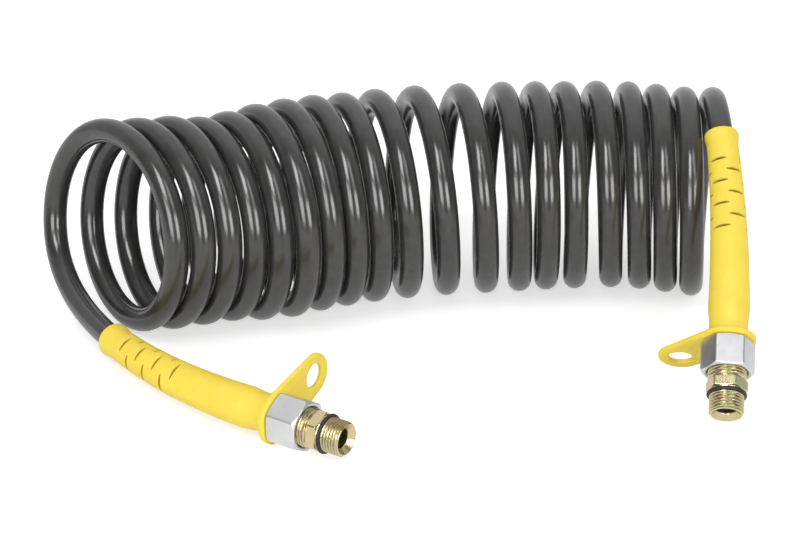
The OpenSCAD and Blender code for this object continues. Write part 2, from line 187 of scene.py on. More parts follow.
# Tables of [turn, value], in degrees for the ways and the lean and in mm for room and swell
LOOP_YAW = [[-0.5, 41.1], [2, 33.5], [4, 27.6], [6, 21.3], [9, 11.7], [12, 1.5], [14, -0.7], [16, -4.1], [20, -7.9]]
AXIS_HEADING = [[-0.5, 10.3], [1, 9.8], [2, 19], [3, 18], [4, 1.5], [5, 14.7], [6, 30.3], [7, 21.4], [9, 14.1],
                [11, 6.2], [13, 7], [15, 4.6], [16, -8.9], [17, -17.1], [20, -20.2]]
LOOP_LEAN = [[-0.5, -8.2], [2, -7], [4, -4.7], [6, -1.2], [10, 0.8], [12, 0.1], [14, -1.1], [16, 1.7], [20, 0.2]]
TURN_ROOM = [[-0.5, 4.2], [1, 3], [2, 3.4], [3, 3.2], [4, 2.3], [5, 3.1], [6, 4], [7, 3], [8, 3.5], [9, 6.4],
             [10, 10.3], [11, 10.5], [12, 6.5], [13, 2.1], [14, 3.2], [15, 7.8], [16, 2], [20, 2.1]]
TURN_SWELL = [[-0.5, 2.6], [0, 0.3], [1, 0.2], [2, 0], [3, -1.1], [4, -0.1], [5, 1.5], [6, 1.8], [8, 1.2],
              [10, 1.5], [12, 1.5], [14, 1], [17, 0.6], [18, 0.6], [19, 1.3], [20, 1.3]]


def read(table, turn):
    """The value of a table of [turn, value] at any turn, on straight lines between its rows."""
    return np.interp(turn, *np.transpose(table))


def axis_speed(turn):
    """The coil's middle over the ground moves by tube plus room in a turn, along the heading."""
    heading = np.radians(read(AXIS_HEADING, turn))
    pitch = 2 * TUBE_R + read(TURN_ROOM, turn) * MM
    return pitch[:, None] * np.stack([np.cos(heading), np.sin(heading)], 1)


turn = np.linspace(FIRST_TURN, LAST_TURN, WINDING_POINTS)
speed = axis_speed(turn)
steps = (speed[1:] + speed[:-1]) / 2 * np.diff(turn)[:, None]
middle = COIL_FROM + axis_speed(np.zeros(1)) * FIRST_TURN + np.vstack([[0, 0], np.cumsum(steps, 0)])
yaw, lean = np.radians(read(LOOP_YAW, turn)), np.radians(read(LOOP_LEAN, turn))
radius = COIL_R + read(TURN_SWELL, turn) * MM
height = TUBE_R * (1 - FLATTENED) + radius
away = -radius * np.sin(2 * np.pi * turn)
over = radius * np.cos(2 * np.pi * turn)
over = np.where(over < 0, over * (height - TUBE_R) / radius, over)
winding = np.stack([
    middle[:, 0] - away * np.sin(yaw) - over * np.sin(lean) * np.cos(yaw),
    middle[:, 1] + away * np.cos(yaw) - over * np.sin(lean) * np.sin(yaw),
    height + over * np.cos(lean)], 1)
hubs = np.column_stack([middle, height])
print("winding of", round(LAST_TURN - FIRST_TURN, 2), "turns")

# %% [markdown]
# The winding is joined to the two guards by curves that leave it along the tube and enter each
# guard along its middle line. Then the whole line is walked at an even step, so the tube gets
# rings of one size and a fine texture along it isn't stretched.

# %% The whole line of the hose
TUBE_END_STATION = 19.2 * MM     # where the tube stops inside the screw-in body
ENTRY = 8 * MM                   # behind the mouth, where the tube starts to follow the guard
TUBE_BEHIND = GUARD_FROM + GUARD_LEN - TUBE_END_STATION
LEFT_HANDLES = (46 * MM, 14 * MM)
RIGHT_HANDLES = (14 * MM, 14 * MM)
RUN_POINTS = 400
RINGS = 1560


def walk(points):
    """Distance walked along a line at each of its points: the sum of the steps so far."""
    return np.concatenate([[0], np.cumsum(np.linalg.norm(np.diff(points, axis=0), axis=1))])


def bridge(start, start_way, handle, finish, finish_way, finish_handle):
    """A cubic Bezier curve: four points weighted by the powers of k and 1 - k."""
    k = np.linspace(0, 1, RUN_POINTS)[:, None]
    b, c = start + start_way * handle, finish - finish_way * finish_handle
    return start * (1 - k) ** 3 + 3 * b * k * (1 - k) ** 2 + 3 * c * k ** 2 * (1 - k) + finish * k ** 3


def guard_run(end):
    """The tube inside a guard, from the entry to its end in the screw-in body, and its way at the entry."""
    points, _, _, out = guard_line(end, np.linspace(ENTRY, TUBE_BEHIND, RUN_POINTS))
    return placed(end, points), -(out[0] @ end["axes"])


left_inside, left_in = guard_run(LEFT)
right_inside, right_in = guard_run(RIGHT)
left_run = bridge(winding[0], unit(winding[0] - winding[1]), LEFT_HANDLES[0],
                  left_inside[0], left_in, LEFT_HANDLES[1])
right_run = bridge(winding[-1], unit(winding[-1] - winding[-2]), RIGHT_HANDLES[0],
                   right_inside[0], right_in, RIGHT_HANDLES[1])
line = np.vstack([left_inside[::-1], left_run[-2:0:-1], winding, right_run[1:-1], right_inside])
before, after = len(left_inside) + len(left_run) - 2, len(right_inside) + len(right_run) - 2
outward = np.pad(unit(winding - hubs), ((before, after), (0, 0)), "edge")
walked = walk(line)
hose_length = walked[-1]
at = np.linspace(0, hose_length, RINGS)
centres, sides = (np.stack([np.interp(at, walked, way) for way in ways.T], 1) for ways in (line, outward))
print("length of the hose:", round(hose_length, 3), "m; step between rings:", round(at[1] * 1000, 2), "mm")

# %% [markdown]
# ## One builder for every surface
# A tube with a bore, a nut, a seal ring and the sleeve of a guard have one thing in common: walk
# round the wall once, in any section, and you come back to where you started. So each of them is
# a grid that closes in both directions, like the skin of a ring. One function turns such a grid
# into a mesh with faces, a UV map and outward normals. Another stores a number at every point of
# a mesh, for a finish to read.

# %% Grid to mesh
def cell_corners(rows, columns):
    """Row numbers and column numbers of the four corners of every cell, in turn around the cell."""
    i, j = (k.reshape(-1, 1) for k in np.meshgrid(np.arange(rows), np.arange(columns), indexing="ij"))
    return i + [0, 0, 1, 1], j + [0, 1, 1, 0]


def grid_faces(rows, columns):
    """Quads of a grid that closes both ways: row after row, with the last joined to the first again."""
    i, j = cell_corners(rows, columns)
    return i % rows * columns + j % columns


def volume_of(points, faces):
    """Signed volume of a closed mesh of quads: a sixth of the triple products of its triangles."""
    a, b, c, d = (points[faces[:, k]] for k in range(4))
    both = np.einsum("ij,ij->i", a, np.cross(b, c)) + np.einsum("ij,ij->i", a, np.cross(c, d))
    return both.sum() / 6


def add_object(name, mesh, material, sharp=40):
    """Links a mesh as an object with its material, smooth but for edges sharper than the given angle."""
    mesh.materials.append(material)
    mesh.shade_smooth()
    mesh.set_sharp_from_angle(angle=math.radians(sharp))
    piece = bpy.data.objects.new(name, mesh)
    scene.collection.objects.link(piece)
    print(name, "-", len(mesh.vertices), "points,", len(mesh.polygons), "faces")
    return piece


def skin(name, points, u):
    """A mesh from a grid of points that closes both ways, turned so that its volume is positive. Its UV map
    has the values u for the rows, with one more for the row where it closes, and 0 to 1 around."""
    rows, columns = points.shape[:2]
    faces = grid_faces(rows, columns)
    i, j = cell_corners(rows, columns)
    uv = np.stack([u[i], np.linspace(0, 1, columns + 1)[j]], -1)
    points = points.reshape(-1, 3)
    if volume_of(points, faces) < 0:
        faces, uv = faces[:, ::-1], uv[:, ::-1]
    mesh = bpy.data.meshes.new(name)
    mesh.from_pydata(points, [], faces)
    mesh.uv_layers.new(name="along_and_round").data.foreach_set("uv", uv.astype(np.float32).ravel())
    return mesh


def mark(mesh, name, values):
    """Stores one number per point of a mesh, which a finish can read by its name."""
    mesh.attributes.new(name, "FLOAT", "POINT").data.foreach_set("value", values.astype(np.float32).ravel())


# %% [markdown]
# ## Helpers for finishes
# A finish is a small graph of nodes. A few helpers keep the graphs readable: they add a node and
# fill its sockets, do a sum, and make a node group with named inputs and outputs. Groups hold the
# effects that several finishes share, and each material feeds them its own values.

# %% Node helpers
def add_node(tree, kind, links=(), **values):
    """A node of a kind, with attributes and sockets set by name; links are (socket, output) pairs."""
    made = tree.nodes.new("ShaderNode" + kind)
    for name, value in values.items():
        if hasattr(made, name):
            setattr(made, name, value)
        else:
            made.inputs[name.replace("_", " ")].default_value = value
    for socket, output in links:
        tree.links.new(output, made.inputs[socket])
    return made


def calculate(tree, operation, *terms, **values):
    """The result of a Math node. Each term is a plain number or an output to link."""
    made = add_node(tree, "Math", operation=operation, **values)
    for k, term in enumerate(terms):
        if isinstance(term, (int, float)):
            made.inputs[k].default_value = term
        else:
            tree.links.new(term, made.inputs[k])
    return made.outputs[0]


def ramp(tree, value, start, stop, low=0.0, high=1.0, **values):
    """The result of a Map Range node: low where the value is at start, high where it is at stop."""
    return add_node(tree, "MapRange", [("Value", value)], From_Min=start, From_Max=stop, To_Min=low,
                    To_Max=high, **values).outputs[0]


def mix(tree, first, second, links=(), **values):
    """The colour of a Mix node between two colours; links or values give its factor."""
    return add_node(tree, "Mix", [(6, first), (7, second), *links], data_type="RGBA", **values).outputs[2]


def new_group(name, inputs, outputs):
    """An empty shader group. inputs and outputs hold the kind of every socket under its name."""
    tree = bpy.data.node_groups.new(name, "ShaderNodeTree")
    for way, sockets in (("INPUT", inputs), ("OUTPUT", outputs)):
        for socket, kind in sockets.items():
            tree.interface.new_socket(socket, in_out=way, socket_type="NodeSocket" + kind)
    return tree, tree.nodes.new("NodeGroupInput").outputs, tree.nodes.new("NodeGroupOutput").inputs


def new_material(name, **values):
    """A material with only a Principled shader in it, whose constant sockets are set by name."""
    material = bpy.data.materials.new(name)
    material.use_nodes = True
    shader = material.node_tree.nodes["Principled BSDF"]
    for socket, value in values.items():
        shader.inputs[socket.replace("_", " ")].default_value = value
    return material, material.node_tree, shader


# %% [markdown]
# ## Three effects that the finishes share
# **Drift** mixes three colours in soft, irregular patches: no surface has one even colour, and on
# a yellow passivated steel the patches are what makes it shimmer. **Grain** is the fine uneven
# skin of a moulded or extruded plastic. **Tool lines** are the marks that drawing, turning or
# extruding leaves: noise that is stretched very long one way.

# %% Shared groups
FINE_PATCHES = 2.7           # how much finer the third colour's patches are
SMEARS = 0.06                # how much coarser the unevenness of the gloss is than the grain

drift_group, given, wanted = new_group(
    "drift of colour", dict(Vector="Vector", Scale="Float", First="Color", Second="Color", Third="Color"),
    dict(Color="Color"))
wide = add_node(drift_group, "TexNoise", [("Vector", given["Vector"]), ("Scale", given["Scale"])],
                Detail=3.0, Roughness=0.55)
fine_scale = calculate(drift_group, "MULTIPLY", given["Scale"], FINE_PATCHES)
fine = add_node(drift_group, "TexNoise", [("Vector", given["Vector"]), ("Scale", fine_scale)], Detail=2.0)
wide_mask = ramp(drift_group, wide.outputs["Fac"], 0.38, 0.62)
fine_mask = ramp(drift_group, fine.outputs["Fac"], 0.45, 0.7)
two = mix(drift_group, given["First"], given["Second"], [(0, wide_mask)])
drift_group.links.new(mix(drift_group, two, given["Third"], [(0, fine_mask)]), wanted["Color"])

grain_group, given, wanted = new_group(
    "grain", dict(Vector="Vector", Scale="Float", Dull="Float", Spread="Float"),
    dict(Height="Float", Roughness="Float"))
skin_noise = add_node(grain_group, "TexNoise", [("Vector", given["Vector"]), ("Scale", given["Scale"])],
                      Detail=4.0, Roughness=0.6)
smear_scale = calculate(grain_group, "MULTIPLY", given["Scale"], SMEARS)
smear = add_node(grain_group, "TexNoise", [("Vector", given["Vector"]), ("Scale", smear_scale)], Detail=3.0)
centred = calculate(grain_group, "SUBTRACT", smear.outputs["Fac"], 0.5)
spread = calculate(grain_group, "MULTIPLY", centred, given["Spread"])
grain_group.links.new(skin_noise.outputs["Fac"], wanted["Height"])
grain_group.links.new(calculate(grain_group, "ADD", spread, given["Dull"], use_clamp=True), wanted["Roughness"])

lines_group, given, wanted = new_group(
    "tool lines", dict(Vector="Vector", Along="Float", Across="Float"), dict(Height="Float"))
parts = add_node(lines_group, "SeparateXYZ", [(0, given["Vector"])])
along = calculate(lines_group, "MULTIPLY", parts.outputs[0], given["Along"])
across = calculate(lines_group, "MULTIPLY", parts.outputs[1], given["Across"])
joined = add_node(lines_group, "CombineXYZ", [(0, along), (1, across)])
streaks = add_node(lines_group, "TexNoise", [("Vector", joined.outputs[0])], Scale=1.0, Detail=5.0,
                   Roughness=0.65)
lines_group.links.new(streaks.outputs["Fac"], wanted["Height"])
print("groups:", [group.name for group in bpy.data.node_groups])

# %% [markdown]
# ## One recipe for every finish
# Each finish takes its colour from the drift, its gloss from the grain and its bump from the grain
# and, where tools or a die left marks, from the tool lines. Where a piece has grooves or slots, an
# attribute named crest is 1 on the outside and falls to 0 in the depth. The recipe then paints shade
# into the colour towards 0, where little light gets in, and can dull the gloss, because no hand gets in there.

# %% The recipe
def new_finish(name, colours, patches, grain, bump, lines=None, tied=False, darkest=None, groove_dull=0.0,
               **values):
    """A material. grain is (scale, dullness, spread), bump is (strength, depth) and lines is (along, across).
    The height is lines + grain, or lines times grain + grain where the lines are tied to the grain.
    darkest is the painted shade: the factor on the colour where the attribute crest is 0."""
    material, tree, shader = new_material(name, **values)
    place = add_node(tree, "TexCoord").outputs
    in_object = [("Vector", place["Object"])]
    first, second, third = [(*colour, 1) for colour in colours]
    colour = add_node(tree, "Group", in_object, node_tree=drift_group, Scale=patches, First=first,
                      Second=second, Third=third).outputs["Color"]
    grained = add_node(tree, "Group", in_object, node_tree=grain_group, Scale=grain[0], Dull=grain[1],
                       Spread=grain[2]).outputs
    height, rough = grained["Height"], grained["Roughness"]
    if lines:
        marks = add_node(tree, "Group", [("Vector", place["UV"])], node_tree=lines_group, Along=lines[0],
                         Across=lines[1]).outputs[0]
        height = calculate(tree, "MULTIPLY_ADD", marks, height if tied else 1.0, height)
    if darkest is not None:
        # Painted shade: the colour is multiplied down to darkest where crest falls to 0, in grooves, slots and
        # bores
        crest = add_node(tree, "Attribute", attribute_name="crest").outputs["Fac"]
        shade = ramp(tree, crest, 0.0, 1.0, darkest)
        colour = mix(tree, colour, shade, blend_type="MULTIPLY", Factor=1.0)
        rough = calculate(tree, "ADD", rough, ramp(tree, crest, 0.0, 1.0, groove_dull, 0.0), use_clamp=True)
    bumped = add_node(tree, "Bump", [("Height", height)], Strength=bump[0], Distance=bump[1]).outputs["Normal"]
    for output, socket in ((colour, "Base Color"), (rough, "Roughness"), (bumped, "Normal")):
        tree.links.new(output, shader.inputs[socket])
    print("finish:", name)
    return material


# %% [markdown]
# ## The finish of the hose
# The tube is extruded black polyamide: a smooth skin whose gloss is a little soft and uneven,
# with faint lines along it. Almost all of its look is reflection, so the colour stays nearly
# black, and the work goes into the roughness and a very small bump.

# %% Black hose
hose_black = new_finish("hose black", [(0.030, 0.030, 0.030), (0.036, 0.035, 0.034), (0.042, 0.041, 0.039)],
                        60.0, (1500.0, 0.2, 0.1), (0.035, 0.05 * MM), lines=(60.0, 70.0), tied=True,
                        IOR=1.62, Specular_IOR_Level=0.5)

# %% [markdown]
# ## The hose
# The tube is a profile carried along the line: a circle of the outer radius going out, a circle
# of the bore coming back, and the grid closes over the cut ends. Each ring needs two directions
# square to the line. One starts as the way from the middle of the turn, so it never twists.
#
# The hose joins two bodies that slide apart and is stretched between them. Every ring follows the
# right end by its share of the hose's length, which opens all the turns evenly.

# %% Make the hose
TUBE_SIDES = 24


def carried(points, side_ways, radius, count):
    """Circles carried along a line: point + radius (cos a u + sin a v). u is the side way without its part
    along the line's own way, and v is square to both."""
    way = unit(np.gradient(points, axis=0))
    u_way = unit(side_ways - np.sum(side_ways * way, 1, keepdims=True) * way)
    v_way = np.cross(way, u_way)
    angle = np.arange(count) * 2 * np.pi / count
    return points[:, None] + radius * (np.cos(angle)[None, :, None] * u_way[:, None]
                                       + np.sin(angle)[None, :, None] * v_way[:, None])


inner = np.arange(0, RINGS, 2)
inner[-1] = RINGS - 1
outside = carried(centres, sides, TUBE_R, TUBE_SIDES)
inside = carried(centres[inner], sides[inner], BORE_R, TUBE_SIDES)
wall = np.concatenate([outside, inside[::-1]])
wall_at = np.concatenate([at, at[inner][::-1]])
hose_mesh = skin("hose", wall, np.append(wall_at, 0.0))
hose = add_object("hose", hose_mesh, hose_black, sharp=60)

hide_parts("hose_coil", "left_hose_tail", "right_hose_tail")
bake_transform(hose, "left_end", "right_end", start=tuple(mouth["left"]), end=tuple(mouth["right"]))
share = np.clip((wall_at - TUBE_BEHIND) / (hose_length - 2 * TUBE_BEHIND), 0, 1)
hose_mesh.attributes["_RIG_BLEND"].data.foreach_set(
    "value", np.repeat(share, TUBE_SIDES).astype(np.float32))
print("lowest point of the hose:", round(float(wall[..., 2].min()) * 1000, 2), "mm")

# %% [markdown]
# ## The finish of the guards
# The guards are moulded in a soft, bright yellow plastic. Its colour drifts a little, its skin
# has a fine satin grain, and its gloss is broad. A little light also enters it, which keeps its
# shaded sides warm instead of grey. The attribute crest falls from 1 outside to 0 in the bore,
# and shade is painted into the colour along it, so the walls of the slots get darker with their depth.

# %% Yellow plastic
# darkest=0.32 paints shade into the slots and the bore
guard_yellow = new_finish("guard yellow", [(0.98, 0.745, 0.075), (0.965, 0.725, 0.065), (0.99, 0.77, 0.095)],
                          45.0, (1400.0, 0.54, 0.2), (0.25, 0.12 * MM), darkest=0.32, IOR=1.46,
                          Subsurface_Weight=0.08, Subsurface_Radius=(1.0, 0.7, 0.15), Subsurface_Scale=2 * MM)

# %% [markdown]
# ## The sleeve of a guard
# A kink guard keeps the hose from folding where it leaves the coupling. Its sleeve gets thinner
# towards the mouth, and seven rings of three slots through its wall let it bend. Neighbouring
# rings are turned against each other, so that a slot always has wall before and behind it. The
# slots are real openings, each widest in its middle. The sleeve is a grid again, with two rows
# close together at each ring of slots.

# %% Slots and rows of the sleeve
SLOT_SPAN = 66               # degrees around the sleeve
SLOT_PERIOD = 360 / 3        # three slots in a ring
SLOT_RINGS = 7
SLOT_WIDTH = 1.5 * MM        # in the middle of a slot
SLOT_TIP = 0.12 * MM         # half the width that is left at a slot's ends
SLOT_CLEAR = 1.4 * MM        # no other row lies nearer to the middle of a slot
FIRST_SLOT = 18.2 * MM
SLOT_PITCH = 12.8 * MM       # from a ring to the next but one
SLEEVE_COLUMNS = 180
LIP_HEIGHT = 0.9 * MM        # of the half round between the outer and the inner radius of the lip
LIP_OUT_R, LIP_IN_R = 8.42 * MM, 7.45 * MM
# Outlines as [distance behind the mouth, radius] in mm
SLEEVE_OUTLINE = [[0.9, 8.42], [2.2, 8.38], [4.5, 7.98], [7.0, 7.74], [10, 7.76], [40, 8.45], [70, 9.12],
                  [93.7, 9.62], [97.3, 9.72], [98.9, 9.6], [102.4, 9.14], [106, 8.98], [109.6, 9.12],
                  [111.4, 9.75], [112, 10.6], [112.8, 10.9], [114.4, 10.9]]
BORE_OUTLINE = [[0, 7.6], [7.0, 6.32], [9.0, 6.3], [114.4, 6.3]]
ROUNDED_OVER = 1.6 * MM


def rounded(outline, where):
    """A radius read from an outline and averaged over a short stretch, which rounds its corners."""
    table = np.array(outline) * MM
    reach = np.linspace(-0.5, 0.5, 9) * ROUNDED_OVER
    return np.mean([np.interp(where + r, table[:, 0], table[:, 1]) for r in reach], 0)


def from_slot(ways, turned):
    """How far each way around lies from the middle of the nearest slot of a ring that is turned so far."""
    return np.abs((ways - turned + SLOT_PERIOD / 2) % SLOT_PERIOD - SLOT_PERIOD / 2)


def half_slot(way):
    """Half the width of a slot: its greatest times the square root of 1 - (way / half span) squared, and
    never less than the tip."""
    share = np.clip(1 - (way / (SLOT_SPAN / 2)) ** 2, 0, 1)
    return np.maximum(SLOT_WIDTH / 2 * np.sqrt(share), SLOT_TIP)


slot_rows = FIRST_SLOT + np.arange(SLOT_RINGS) * SLOT_PITCH / 2
plain_rows = np.concatenate([np.linspace(0.9, 12, 16), np.arange(13.2, 93.5, 1.6), np.arange(94, 114.4, 0.6),
                             [114.4]]) * MM
plain_rows = plain_rows[np.abs(plain_rows[:, None] - slot_rows).min(1) > SLOT_CLEAR]
behind = np.sort(np.concatenate([plain_rows, slot_rows - SLOT_WIDTH / 2, slot_rows + SLOT_WIDTH / 2]))
around = np.arange(SLEEVE_COLUMNS) * 360 / SLEEVE_COLUMNS
print("rows along a sleeve:", len(behind), "columns:", SLEEVE_COLUMNS)

# %% [markdown]
# Both sleeves share one grid of stations and radii. Its rows run out along the outside, round the
# lip and back along the bore, and the columns run around the guard's line. The rows at a slot bow
# apart to the slot's width. The cells between them are left out of both walls, and new walls join
# the edges that this opens.

# %% Grid of the sleeve
at_rows = np.repeat(behind[:, None], SLEEVE_COLUMNS, 1)
holes = []
for number, slot_row in enumerate(slot_rows):
    turned = number % 2 * SLOT_PERIOD / 2
    half_width = half_slot(from_slot(around, turned))
    row = int(np.argmin(np.abs(behind - (slot_row - SLOT_WIDTH / 2))))
    at_rows[row], at_rows[row + 1] = slot_row - half_width, slot_row + half_width
    holes.append((row, from_slot(around + 180 / SLEEVE_COLUMNS, turned) < SLOT_SPAN / 2))

lip_turn = np.radians([30, 60, 90, 120, 150])[:, None] + np.zeros(SLEEVE_COLUMNS)
lip_r = (LIP_OUT_R + LIP_IN_R) / 2 + (LIP_OUT_R - LIP_IN_R) / 2 * np.cos(lip_turn)
stations = np.concatenate([at_rows[::-1], LIP_HEIGHT * (1 - np.sin(lip_turn)), at_rows])
radii = np.concatenate([rounded(SLEEVE_OUTLINE, at_rows)[::-1], lip_r, rounded(BORE_OUTLINE, at_rows)])

index = np.arange(stations.size).reshape(stations.shape)
following = np.roll(index, -1, 1)
keep = np.ones(stations.shape, bool)
walls = []
first_inner = len(behind) + len(lip_turn)
for row, spans in holes:
    outer_row, inner_row = len(behind) - 2 - row, first_inner + row
    keep[outer_row, spans] = keep[inner_row, spans] = False
    for a, b in ((outer_row, inner_row + 1), (outer_row + 1, inner_row)):
        walls.append(np.stack([index[a, spans], following[a, spans], following[b, spans], index[b, spans]], 1))
    for j in np.flatnonzero(spans != np.roll(spans, 1)):
        walls.append([[index[outer_row, j], index[outer_row + 1, j], index[inner_row, j], index[inner_row + 1, j]]])
sleeve_faces = np.concatenate([grid_faces(*stations.shape)[keep.ravel()]] + walls).tolist()
# crest is 1 on the outside and the lip and 0 on the bore; the finish paints shade along it
sleeve_crest = np.where(np.arange(len(stations)) < first_inner, 1.0, 0.0).repeat(SLEEVE_COLUMNS)
print("faces of a sleeve:", len(sleeve_faces))


def sleeve_points(end):
    """Points of an end's sleeve: the guard's line plus the radius along the way around."""
    points, inward, beside, _ = guard_line(end, stations.ravel())
    from_bend = np.radians(np.tile(end["slot_way"] + around, len(stations)) - end["bend_way"])[:, None]
    out = np.cos(from_bend) * inward + np.sin(from_bend) * beside
    return placed(end, points + out * radii.reshape(-1, 1))


# %% [markdown]
# ## The flange and its eye
# At the coupling the sleeve ends in a flange, from which an eye sticks out to hang the hose by.
# Seen along the guard this is the outline around two circles, joined by the straight lines that
# touch both. If each point of the outline is named by the direction of its normal, a smaller
# outline has the same number of points, and the rounded edge is a stack of such outlines.

# %% Shape of the flange
FLANGE_R = 12.8 * MM
FLANGE_H = 2.5 * MM
EYE_R = 10.5 * MM
EYE_HOLE_R = 5.75 * MM
EYE_REACH = 29 * MM
EDGE = 0.75 * MM
PLATE_HOLE_R = 7.5 * MM      # ends hidden in the wall of the sleeve
OUTLINE_POINTS = 144


def stacked(outline):
    """Outlines of a plate from its lower face to its upper one: each edge is a quarter circle of the edge's
    radius, so the outline is pulled in by edge (1 - cos) where the height is edge (1 - sin) from a face."""
    quarter = np.radians([90, 67.5, 45, 22.5, 0])
    pulls, heights = EDGE * (1 - np.cos(quarter)), EDGE * (1 - np.sin(quarter))
    pulls = np.append(pulls, pulls[::-1])
    heights = np.append(heights, FLANGE_H - heights[::-1])
    return [np.column_stack([outline(p), np.full(OUTLINE_POINTS, h)]) for p, h in zip(pulls, heights)]


def around_both(pull):
    """Outline around flange and eye: a circle around the eye where the normal's way lies within the flank's
    angle, whose cosine is the difference of the radii over the reach, and around the flange elsewhere."""
    normal = (np.arange(OUTLINE_POINTS) + 0.5) * 2 * np.pi / OUTLINE_POINTS
    flank = math.acos((FLANGE_R - EYE_R) / EYE_REACH)
    on_eye = np.abs((normal + np.pi) % (2 * np.pi) - np.pi) < flank
    radius = np.where(on_eye, EYE_R, FLANGE_R) - pull
    return np.stack([np.where(on_eye, EYE_REACH, 0) + radius * np.cos(normal), radius * np.sin(normal)], 1)


def round_hole(centre_x, radius, edge_share=1.0):
    """Outline of a hole: a circle that gets wider where a solid's edge is pulled in."""
    angle = -(np.arange(OUTLINE_POINTS) + 0.5) * 2 * np.pi / OUTLINE_POINTS
    return lambda pull: np.stack([centre_x + (radius + pull * edge_share) * np.cos(angle),
                                  (radius + pull * edge_share) * np.sin(angle)], 1)


def flange_mesh(end):
    """The plate: three stacks of outlines joined by quads, and a flat face of triangles below and above."""
    stacks = [stacked(around_both), stacked(round_hole(0, PLATE_HOLE_R, 0)),
              stacked(round_hole(EYE_REACH, EYE_HOLE_R))]
    points, faces, first = [], [], 0
    rims = {0: [], -1: []}
    for layers in stacks:
        i, j = cell_corners(len(layers) - 1, OUTLINE_POINTS)
        faces += (first + i * OUTLINE_POINTS + j % OUTLINE_POINTS).tolist()
        for level in rims:
            rims[level].append((layers[level], first + (len(layers) - 1 if level else 0) * OUTLINE_POINTS))
        points += layers
        first += len(layers) * OUTLINE_POINTS
    for level, loops in rims.items():
        numbers = np.concatenate([np.arange(OUTLINE_POINTS) + start for _, start in loops])
        cut = tessellate_polygon([[Vector(p) for p in loop] for loop, _ in loops])
        faces += [[int(numbers[k]) for k in (corner if level else corner[::-1])] for corner in cut]
    turn_eye = math.radians(end["eye_way"])
    points = np.concatenate(points)
    cos, sin = math.cos(turn_eye), math.sin(turn_eye)
    turned = np.stack([points[:, 0] * cos - points[:, 1] * sin, points[:, 0] * sin + points[:, 1] * cos,
                       points[:, 2] + GUARD_FROM], 1)
    return placed(end, turned), faces


# %% [markdown]
# Sleeve and flange together are one moulding and become one mesh. All their shells are closed, so
# Blender can turn every face outwards by itself, and the cell prints whether an edge stayed open.

# %% Make the guards
def closed_mesh(name, points, faces):
    """A mesh whose shells are closed, with every shell's faces turned outwards."""
    mesh = bpy.data.meshes.new(name)
    mesh.from_pydata(points, [], faces)
    work = bmesh.new()
    work.from_mesh(mesh)
    bmesh.ops.recalc_face_normals(work, faces=work.faces)
    open_edges = sum(not edge.is_manifold for edge in work.edges)
    work.to_mesh(mesh)
    work.free()
    print(name, "has", open_edges, "open edges")
    return mesh


for end in (LEFT, RIGHT):
    name = end["side"] + "_guard"
    in_sleeve = sleeve_points(end)
    in_flange, flange_faces = flange_mesh(end)
    faces = sleeve_faces + [[k + len(in_sleeve) for k in face] for face in flange_faces]
    mesh = closed_mesh(name, np.concatenate([in_sleeve, in_flange]), faces)
    mark(mesh, "crest", np.append(sleeve_crest, np.ones(len(in_flange))))
    guard = add_object(name, mesh, guard_yellow, sharp=50)
    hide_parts(end["side"] + "_kink_guard")
    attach(guard, end["side"] + "_end")

# %% [markdown]
# ## The finishes of the metal
# The union nuts are zinc plated: a cool silver with fine lines from the drawn bar. The screw-in
# bodies are zinc plated too, but passivated in yellow, which is why they are gold with patches of
# green and rose. Both are metals, so their colour is the colour of their reflections. Here the
# attribute crest is 1 on the crests of the threads and 0 in the grooves and bores, which get painted
# shade and a duller gloss.

# %% Zinc, yellow passivation and bare steel
# darkest paints shade into the colour where crest falls to 0; groove_dull lowers the gloss there
METAL = dict(Metallic=1.0, darkest=0.55, groove_dull=0.16)
METAL_SKIN = 1800.0          # scale of the grain
zinc = new_finish("bright zinc", [(0.69, 0.69, 0.70), (0.64, 0.65, 0.67), (0.72, 0.71, 0.71)],
                  55.0, (METAL_SKIN, 0.38, 0.14), (0.2, 0.05 * MM), lines=(3.0, 90.0), **METAL)
passivated = new_finish("yellow passivation", [(0.65, 0.56, 0.28), (0.55, 0.58, 0.34), (0.71, 0.50, 0.39)],
                        130.0, (METAL_SKIN, 0.25, 0.18), (0.2, 0.05 * MM), lines=(90.0, 3.0), **METAL)
steel = new_finish("turned steel", [(0.52, 0.53, 0.55), (0.47, 0.48, 0.50), (0.56, 0.56, 0.56)],
                   55.0, (METAL_SKIN, 0.36, 0.2), (0.25, 0.05 * MM), lines=(60.0, 4.0), **METAL)

# %% [markdown]
# The seal ring is a nearly black rubber with a touch of brown, dull and a little uneven.

# %% Rubber
rubber = new_finish("seal rubber", [(0.026, 0.017, 0.018), (0.034, 0.023, 0.023), (0.045, 0.033, 0.032)],
                    220.0, (2500.0, 0.42, 0.3), (0.3, 0.08 * MM), IOR=1.5, Specular_IOR_Level=0.3)

# %% [markdown]
# ## Turned, hexagonal and threaded pieces
# Nut, body and ring are all turned pieces: an outline of radius against station, swept around the
# coupling. A hexagon is a limit on the radius that depends on the way around, and a thread is a
# helical groove taken off it. Taking the smaller of outline and hexagon softly, not sharply,
# gives the small rounded edges that catch the light.

# %% Turned surfaces
TURN_COLUMNS = 156
NUT_AF = 22 * MM
BODY_AF = 17 * MM
HEX_FROM = 10.9 * MM
HEX_TO = 16.5 * MM
STUD_R = 8 * MM
STUD_LEN = 8.8 * MM
NUT_THREAD_R = 9 * MM
CONE_MOUTH = 26.2 * MM
THREAD_PITCH = 1.5 * MM
THREAD_DEPTH = 0.8 * MM


def soft_min(a, b, k):
    """The smaller of two lengths, with a fillet of about k where they meet: the hyperbola
    (a + b - sqrt((a - b)^2 + k^2)) / 2, which stays just inside both."""
    return (a + b - np.sqrt((a - b) ** 2 + k ** 2)) / 2


def hexagon(across, way, corner):
    """Radius of a hexagon: half its width over the cosine of the way from the nearest face, with corners
    rounded by a soft minimum of neighbouring faces."""
    sector = (way + math.pi / 6) % (math.pi / 3) - math.pi / 6
    this = across / 2 / np.cos(sector)
    beside = across / 2 / np.cos(math.pi / 3 - np.abs(sector))
    return soft_min(this, beside, corner)


